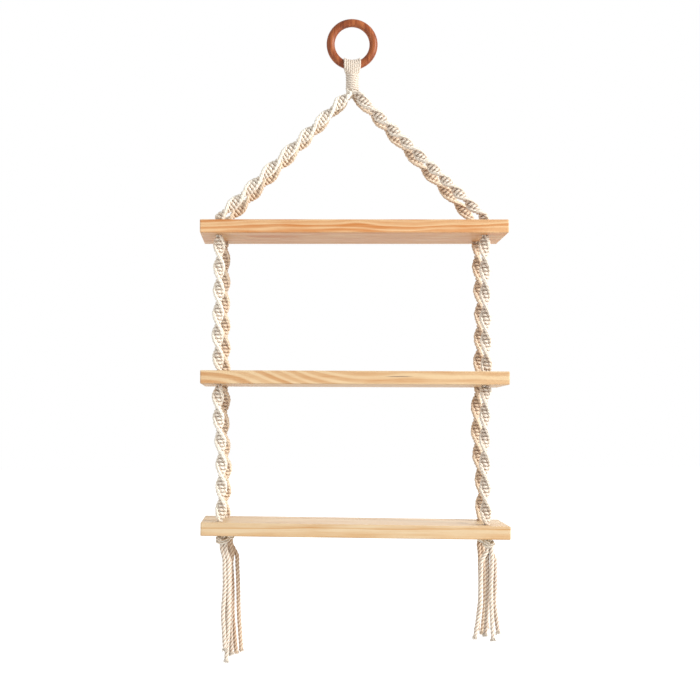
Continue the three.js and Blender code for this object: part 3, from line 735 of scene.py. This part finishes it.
def hole_tubes(start, end):
    """Four straight strands between two points, two outside and two inside."""
    line = even_path(np.stack([start, end]), HOLE_STEP)
    return [cord_tube(line + np.array((x, y, 0)), DOWNWARD_SIDE, FILLING_CORD, start_turn=x)
            for x, y in STRAIGHT_SPOTS]


for tier in ("middle", "bottom"):
    for hole in HOLES:
        above, below = mouth(f"{tier}_board", hole, 1), mouth(f"{tier}_board", hole, -1)
        low_end = below if tier == "middle" else below - TOWARDS_KNOT
        tubes = hole_tubes(above - INSIDE_MOUTH, low_end + INSIDE_MOUTH)
        strands = make_piece(f"{tier}_hole_cords_{hole}", tubes, cotton)
        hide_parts(f"{tier}_hole_strands_{hole}")
        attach(strands, f"{tier}_tier")
print("hole strands: 8 bundles")

# %% [markdown]
# ## Stopper knots
# Under the bottom board, a few millimetres beside its hole, each leg is tied in an overhand knot. Its
# line has a half-turn symmetry: turned round the sideways axis it falls on itself, so only one half is
# written down and the other is its image. The four strands follow that line as a small square bundle.

# %% Stopper knots
KNOT_HALF_LINE = np.array([(6.6, 0, 0), (4.0, 4.4, 2.4), (-2.6, 3.6, 3.7), (-6.4, 0.2, 2.4),
                           (-3.2, -3.0, -0.2), (0.6, 0.6, -3.2), (0, 0, -8.5)], float)
KNOT_STRAND, KNOT_STEP = 3.2, 0.9
BUNDLE_CORNER, BUNDLE_TWIST = 1.5 * 1.414, 1.2
KNOT_SIDE = np.array((0.15, 1.0, 0.1))
KNOT_TURN = 0.5


def knot_tubes(centre, turn):
    """The overhand knot's four strands: the half line, its image turned round the sideways axis, and
    four offsets in a frame that is carried along and turns a little on the way."""
    image = KNOT_HALF_LINE[:0:-1] * (1, -1, -1)
    line = smooth_path(np.vstack([image, KNOT_HALF_LINE]), KNOT_STEP)
    spin = np.array([[np.cos(turn), -np.sin(turn), 0], [np.sin(turn), np.cos(turn), 0], [0, 0, 1]])
    _, side, other, twist = carried_frame(line, KNOT_SIDE)
    tubes = []
    for corner in range(4):
        angle = np.pi / 4 + corner * np.pi / 2 - twist + BUNDLE_TWIST * np.linspace(0, 1, len(line))
        offset = BUNDLE_CORNER * (np.cos(angle)[:, None] * side + np.sin(angle)[:, None] * other)
        strand = (line + offset) @ spin.T + centre
        tubes.append(cord_tube(strand, KNOT_SIDE @ spin.T, KNOT_STRAND, start_turn=corner))
    return tubes


for number, hole in enumerate(HOLES):
    centre = knot_point(hole, -BOARD_HALF - TOUCH_GAP - KNOT_HEIGHT / 2)
    knot = make_piece(f"stopper_knot_{hole}_tied", knot_tubes(centre, KNOT_TURN * number), cotton)
    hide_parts(f"stopper_knot_{hole}")
    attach(knot, "bottom_tier")
low, high = np.array(knot.bound_box).min(0), np.array(knot.bound_box).max(0)
print("stopper knot: size in mm", np.round((high - low) / MM, 1))

# %% [markdown]
# ## Loops over the ring
# The eight folded cords sit side by side on the ring's lower part. Each runs up from the wrap, over the
# round wood and down again. The ring climbs towards its sides, so the outer loops sit a little higher.

# %% Ring loops
RING_CENTRE, RING_RADIUS, RING_TUBE = -25.5, 31.5, 6.0
TAUT_CORD, PRESSED_CORD, OVER_WOOD = 3.0, 3.3, 0.15
LOOP_COUNT, LOOP_SPACING, SQUEEZED_SPACING = 8, 3.1, 2.4
FLANK_ANGLE, ARC_POINTS, LOOP_STEP = 112, 13, 0.8
BUNDLE_SIDE, BUNDLE_BELLY = 1.6, 3.1
WAY_INTO_WRAP = ((0.62, 0.8, -8), (0.62 * 1.1, 0.85, -4), (1, 1, 0.4))
LOOP_SHADOW, LOOP_TURN = 0.22, 1.3


def loop_path(number):
    """One loop: an arc round the wood from one flank to the other, with straight runs into the wrap."""
    outermost = (LOOP_COUNT - 1) / 2
    offset = number - outermost
    x_top, x_wrap = offset * LOOP_SPACING, offset * SQUEEZED_SPACING
    drop = np.sqrt(RING_RADIUS ** 2 - x_top ** 2)
    reach = RING_TUBE + TAUT_CORD / 2
    across, upward = reach + OVER_WOOD, reach * RING_RADIUS / drop + OVER_WOOD
    angle = np.radians(np.linspace(-FLANK_ANGLE, FLANK_ANGLE, ARC_POINTS))
    arc = np.stack([x_top + 0 * angle, across * np.sin(angle),
                    RING_CENTRE - drop + upward * np.cos(angle)], -1)
    y_wrap = BUNDLE_SIDE + BUNDLE_BELLY * (1 - (offset / outermost) ** 2)
    front = np.array([(x_wrap * sideways, -y_wrap * forward, WRAP_TOP + height)
                      for sideways, forward, height in WAY_INTO_WRAP])
    return smooth_path(np.vstack([front, arc, front[::-1] * (1, -1, 1)]), LOOP_STEP)


for number in range(LOOP_COUNT):
    path = loop_path(number)
    tube = cord_tube(path, DOWNWARD_SIDE, PRESSED_CORD, sides=18, start_turn=LOOP_TURN * number,
                     shadow=LOOP_SHADOW)
    loop = make_piece(f"ring_loop_{number + 1}_cord", [tube], cotton)
    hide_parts(f"ring_loop_{number + 1}")
    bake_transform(loop)
print("loops:", LOOP_COUNT, "of", round(float(distances(path)[-1]), 1), "mm above the wrap's middle")

# %% [markdown]
# ## The gathering wrap
# A separate short cord is wound tightly round all sixteen strands. It is a helix, a little slimmer at its
# middle where it pulls hardest, and both its ends are tucked under.

# %% Gathered strands and wrap
WRAP_TURNS, WRAP_PITCH, WRAP_RADIUS, WRAP_CORD = 7, 3.32, 8.3, 3.5
TUCK_TURNS, TUCK_DEPTH, WAIST, FIRST_TURN_DOWN = 0.12, 2.6, 0.35, 1.5
WRAP_SAMPLES, WRAP_SHADOW = 540, 0.25
GATHER_RINGS = ((11, 5.2), (5, 2.45))
GATHERED_CORD, GATHERED_TOP, GATHERED_FOOT = 2.8, WRAP_TOP - 1.0, WRAP_BOTTOM - 0.5


def wrap_path():
    """A helix that sinks by one pitch per turn. Its radius falls at both ends, where it is tucked in,
    and by a few hundredths at half height."""
    turn = np.linspace(-TUCK_TURNS, WRAP_TURNS + TUCK_TURNS, WRAP_SAMPLES)
    share = np.clip(turn / WRAP_TURNS, 0, 1)
    tucked = sum(soften((TUCK_TURNS - inwards) / (2 * TUCK_TURNS)) for inwards in (turn, WRAP_TURNS - turn))
    radius = WRAP_RADIUS - WAIST * np.sin(np.pi * share) - TUCK_DEPTH * tucked
    angle = np.pi / 2 + 2 * np.pi * turn
    height = WRAP_TOP - FIRST_TURN_DOWN - WRAP_PITCH * turn
    return np.stack([radius * np.cos(angle), radius * np.sin(angle), height], -1)


path = even_path(wrap_path(), PATH_STEP)
wound = cord_tube(path, path * (1, 1, 0) + (0, 0, 0.01), WRAP_CORD, sides=15, shadow=WRAP_SHADOW)
wrap = make_piece("gathering_wrap_cord", [wound], cotton)
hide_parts("gathering_wrap")
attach(wrap, "gather")
bundle = []
for count, reach in GATHER_RINGS:
    for spot in 2 * np.pi * np.arange(count) / count:
        x, y = reach * np.cos(spot), reach * np.sin(spot)
        line = even_path(np.array([(x, y, GATHERED_TOP), (x, y, GATHERED_FOOT)]), 2.0)
        bundle.append(cord_tube(line, DOWNWARD_SIDE, GATHERED_CORD, start_turn=spot))
gathered = make_piece("gathered_cords", bundle, cotton)
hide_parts("gathered_strands")
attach(gathered, "gather")
print("wrap:", WRAP_TURNS, "turns,", round(float(distances(path)[-1])), "mm of cord")

# %% [markdown]
# ## The ring
# The ring is turned from a reddish hardwood and oiled to a satin gloss. As a surface it is a circle
# carried round a circle. Its grain runs straight through the wood, not round the ring, because it was cut
# from one board, so the stripes are laid on Object coordinates.

# %% Ring
RING_SURFACE = {"Roughness": 0.42, "Specular IOR Level": 0.25}
STREAK_SCALE, BROAD_SCALE = 420.0, 90.0
RING_BUMP, RING_PALENESS = (0.12, 0.0004), 0.03
RING_STEPS, RING_SIDES = 160, 40


def ring_wood_material():
    """Reddish wood: long streaks stretched along one direction, and painted light: a little paler towards
    the right, the side the key lamp lights.
    """
    material, tree, shader = new_material("ring_hardwood")
    place = node(tree, "TexCoord").outputs["Object"]
    stretched = mapped(tree, place, (1.0, 1.0, 0.06), Rotation=(0.1, 0.35, 0.0))
    streak = noise(tree, stretched, STREAK_SCALE, 6.0, roughness=0.62)
    mixed = add_shares(tree, 0.0, (streak, 0.6), (noise(tree, stretched, BROAD_SCALE, 3.0), 0.5))
    # Painted light: the colour lifts with the distance to the right, where the key lamp shines.
    sideways = node(tree, "SeparateXYZ", {0: place}).outputs[0]
    mixed = math_node(tree, "ADD", mixed, math_node(tree, "ADD", sideways, RING_PALENESS))
    colour = ramp(tree, mixed, [(0.34, shade(66, 27, 10)), (0.52, shade(124, 60, 29)),
                                (0.72, shade(172, 101, 58))])
    finish_surface(tree, shader, colour, streak, RING_BUMP, RING_SURFACE)
    return material


def ring_tube(steps, sides):
    """A circle of the rod's radius carried round a circle of the ring's radius, as a closed grid."""
    large, small = np.meshgrid(*(2 * np.pi * np.arange(count) / count for count in (steps, sides)),
                               indexing="ij")
    reach = RING_RADIUS + RING_TUBE * np.cos(small)
    points = np.stack([reach * np.sin(large), RING_TUBE * np.sin(small),
                       RING_CENTRE + reach * np.cos(large)], -1)
    row, column = grid_corners(steps, sides)
    return {"points": points.reshape(-1, 3), "quads": row % steps * sides + column % sides,
            "triangles": np.zeros((0, 3), int), "quad_uv": np.zeros((row.size, 2)),
            "triangle_uv": np.zeros((0, 2)), "painted_shade": np.zeros(steps * sides)}


ring = make_piece("turned_ring", [ring_tube(RING_STEPS, RING_SIDES)], ring_wood_material())
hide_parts("wooden_ring")
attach(ring, "hanging_ring")
print("ring:", 2 * (RING_RADIUS + RING_TUBE), "mm outside, faces", len(ring.data.polygons))

# %% [markdown]
# ## The boards
# The boards are planed pine with broken edges. Pine shows the tree's year rings: pale early wood that
# darkens towards a sharp brown line, cut here almost along the tree, so that the rings draw long flowing
# lines on the faces and short arcs on the ends. The rings are computed as what they are, the distance from
# the tree's middle line, with slow waves added, so that faces, edges and ends fit each other.

# %% Pine
WAVE_SCALE, TONE_SCALE, FIBRE_SCALE = 24.0, 70.0, 800.0
TONE_STRENGTH, FIBRE_STRENGTH = 1.1, 0.9
SINK_FROM, SINK_TO = -0.25, 0.03
RESIN = shade(112, 88, 74)
PINE_BUMP = (0.2, 0.0003)
PINE_SURFACE = {"Roughness": 0.5, "Specular IOR Level": 0.3}


def dark_streak(tree, place, centre, half_sizes):
    """1 inside a long thin ellipsoid and 0 outside, with a soft edge: a resin pocket in the wood."""
    away = node(tree, "VectorMath", {0: place, 1: centre}, operation="SUBTRACT").outputs[0]
    scaled = node(tree, "VectorMath", {0: away, 1: half_sizes}, operation="DIVIDE").outputs[0]
    reach = node(tree, "VectorMath", {0: scaled}, operation="LENGTH").outputs["Value"]
    return node(tree, "MapRange", {0: reach, 1: 0.5, 2: 1.0, 3: 0.75, 4: 0.0}).outputs[0]


def pine_material(name, light, late, season, centre, tilt, rings_per_metre, phase, wave, sink, streaks):
    """Year rings: the distance of a point from the tree's line, bent by slow noise and by a smooth sink
    from left to right, counted in rings. The share within a ring sets the colour by the season's stops,
    weaker in some years than in others. Fine fibres and broad tones run along the board."""
    material, tree, shader = new_material(name)
    place = node(tree, "TexCoord").outputs["Object"]
    turned = mapped(tree, place, (1.0, 1.0, 1.0), Location=centre, Rotation=tilt)
    slow = mapped(tree, turned, (0.2, 1.0, 1.0), Location=(phase, 0, 0))
    moved = noise(tree, slow, WAVE_SCALE, 2.5, output="Color")
    for operation, value in (("SUBTRACT", (0.5, 0.5, 0.5)), ("MULTIPLY", (0.0, wave, wave)),
                             ("ADD", turned), ("MULTIPLY", (0.0, 1.0, 1.0))):
        moved = node(tree, "VectorMath", {0: moved, 1: value}, operation=operation).outputs[0]
    from_line = node(tree, "VectorMath", {0: moved}, operation="LENGTH").outputs["Value"]
    sideways = node(tree, "SeparateXYZ", {0: place}).outputs[0]
    sunk = node(tree, "MapRange", {0: sideways, 1: SINK_FROM, 2: SINK_TO, 3: 0.0, 4: sink},
                interpolation_type="SMOOTHERSTEP").outputs[0]
    distance = math_node(tree, "ADD", from_line, sunk)
    rings = add_shares(tree, phase, (distance, rings_per_metre))
    tint = ramp(tree, math_node(tree, "FRACT", rings), [(at, (level,) * 3) for at, level in season])
    year = node(tree, "TexWhiteNoise", {"W": math_node(tree, "FLOOR", rings)}, noise_dimensions="1D")
    late_share = math_node(tree, "MULTIPLY", tint, add_shares(tree, 0.5, (year.outputs["Value"], 0.5)))
    fibre = noise(tree, mapped(tree, turned, (0.02, 1.0, 1.0)), FIBRE_SCALE, 4.0)
    tone = noise(tree, slow, TONE_SCALE, 3.0)
    toned = add_shares(tree, late_share, (tone, TONE_STRENGTH, 0.5), (fibre, FIBRE_STRENGTH, 0.5))
    share = node(tree, "Clamp", {0: toned}).outputs[0]
    colour = node(tree, "MixRGB", {0: share, 1: (*light, 1), 2: (*late, 1)}).outputs[0]
    for spot, half_sizes in streaks:
        colour = node(tree, "MixRGB", {0: dark_streak(tree, place, spot, half_sizes), 1: colour,
                                       2: (*RESIN, 1)}).outputs[0]
    height = add_shares(tree, 0.0, (late_share, 0.5), (fibre, 0.5))
    finish_surface(tree, shader, colour, height, PINE_BUMP, PINE_SURFACE)
    return material


BROAD_LATE = ((0.0, 0.3), (0.16, 0.05), (0.34, 0.7), (0.75, 1.0), (0.9, 0.75), (1.0, 0.3))
EVEN_BANDS = ((0.0, 0.1), (0.22, 0.0), (0.45, 0.75), (0.82, 0.9), (1.0, 0.1))
THIN_LINES = ((0.0, 0.5), (0.4, 0.4), (0.55, 0.1), (0.82, 0.05), (0.9, 1.0), (1.0, 0.5))
# Light and late wood, season, the tree's line as a move and a tilt, rings to the metre, phase, wave,
# sink, and the streaks of resin as a place and half sizes.
PINES = {
    "top": ((210, 174, 130), (184, 118, 62), BROAD_LATE, (0.0, 0.02, 0.372), (0.0, 0.01, 0.0),
            190.0, 1.3, 0.03, 0.0, []),
    "middle": ((210, 182, 142), (180, 128, 78), EVEN_BANDS, (0.0, 0.02, 0.62), (0.0, -0.0065, 0.0),
               115.0, 4.1, 0.02, 0.05, [((0.062, -0.07, -0.516), (0.023, 0.02, 0.0009))]),
    "bottom": ((208, 184, 148), (186, 138, 84), THIN_LINES, (0.0, 0.03, 1.0517), (0.0, -0.014, 0.0),
               80.0, 0.1, 0.01, 0.0, [((0.158, -0.01, -0.727), (0.012, 0.005, 0.01))])}
print("pines:", *PINES)

# %% [markdown]
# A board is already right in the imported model, down to its broken edges and drilled holes, but its mesh
# is loose triangles. A copy of it is merged, its flat triangles are dissolved into whole faces, and a
# small Bevel modifier rounds every edge, so that the edges catch the light.

# %% Boards
EDGE_ROUNDING, EDGE_ANGLE = 0.0004, 20
SAME_POINT, SAME_FACE = 0.00001, 0.01


def finished_board(node_name, pine):
    """A merged copy of a board's mesh with rounded edges, in its own pine."""
    mesh = bpy.data.meshes.new(f"{node_name}_planed")
    shape = bmesh.new()
    shape.from_mesh(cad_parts[node_name].data)
    bmesh.ops.remove_doubles(shape, verts=shape.verts, dist=SAME_POINT)
    bmesh.ops.dissolve_limit(shape, angle_limit=SAME_FACE, verts=shape.verts, edges=shape.edges)
    shape.to_mesh(mesh)
    shape.free()
    board = in_scene(f"{node_name}_planed", mesh)
    mesh.materials.clear()
    mesh.materials.append(pine)
    mesh.polygons.foreach_set("use_smooth", np.ones(len(mesh.polygons), bool))
    bevel = board.modifiers.new("rounded_edges", "BEVEL")
    bevel.width = EDGE_ROUNDING
    bevel.segments = 2
    bevel.limit_method = "ANGLE"
    bevel.angle_limit = np.radians(EDGE_ANGLE)
    bevel.harden_normals = True
    return board


for tier, (light, late, *grain) in PINES.items():
    pine = pine_material(f"pine_{tier}", shade(*light), shade(*late), *grain)
    board = finished_board(f"{tier}_board", pine)
    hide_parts(f"{tier}_board")
    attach(board, f"{tier}_tier")
print("boards: 3, corners in the last", len(board.data.vertices))

# %% [markdown]
# ## Floor, background and light
# The photograph is cut out on pure white. The world shows white to the camera and to mirrors and glass,
# and lights the object at a plainer level. The floor far below does the same, but keeps the shadow. The
# strongest of the three lamps stands at the right front and leaves the ropes' left sides grey.

# %% Stage
FLOOR_HEIGHT, FLOOR_REACH = -1.25, 30.0
LAMP_TARGET = (0, 0, -0.45)


def split_by_ray(tree, plain, white):
    """White for rays from the camera, from a mirror or through glass, and plain for all others."""
    rays = node(tree, "LightPath").outputs
    share = rays["Is Camera Ray"]
    for kind in ("Glossy", "Transmission"):
        share = math_node(tree, "MAXIMUM", share, rays[f"Is {kind} Ray"])
    return node(tree, "MixShader", {0: share, 1: plain, 2: white}).outputs[0]


def floor_material():
    """A pale floor that shows white where it is lit and a soft grey where the object's shadow falls."""
    material = bpy.data.materials.new("pale_floor")
    tree = empty_tree(material)
    plain = node(tree, "BsdfDiffuse", {"Color": (0.8, 0.8, 0.8, 1)}).outputs[0]
    glow = node(tree, "Emission", {"Color": (1, 1, 1, 1), "Strength": 0.7}).outputs[0]
    white = node(tree, "AddShader", {0: plain, 1: glow}).outputs[0]
    node(tree, "OutputMaterial", {0: split_by_ray(tree, plain, white)})
    return material


floor_mesh = bpy.data.meshes.new("floor")
floor_mesh.from_pydata([(x * FLOOR_REACH, y * FLOOR_REACH, FLOOR_HEIGHT)
                        for x, y in ((-1, -1), (1, -1), (1, 1), (-1, 1))], [], [(0, 1, 2, 3)])
floor_mesh.materials.append(floor_material())
floor = in_scene("floor", floor_mesh)

world = bpy.data.worlds.new("studio")
bpy.context.scene.world = world
tree = empty_tree(world)
dim, white = (node(tree, "Background", {"Color": (1, 1, 1, 1), "Strength": strength}).outputs[0]
              for strength in (0.64, 1.0))
node(tree, "OutputWorld", {0: split_by_ray(tree, dim, white)})


def area_light(name, place, size, power):
    """A soft square lamp that looks at the shelf's middle."""
    light = bpy.data.lights.new(name, "AREA")
    light.shape, light.size, light.energy = "SQUARE", size, power
    lamp = in_scene(name, light)
    lamp.location = place
    lamp.rotation_euler = (Vector(place) - Vector(LAMP_TARGET)).to_track_quat("Z", "Y").to_euler()


area_light("key_light", (2.9, -1.5, 0.5), 0.9, 130)
area_light("fill_light", (-0.9, -1.1, -0.2), 0.8, 5)
area_light("back_light", (0.3, 2.0, 0.35), 1.0, 6)
bpy.context.scene.view_settings.view_transform = "Standard"
print("stage: floor at", FLOOR_HEIGHT, "m, three lamps")
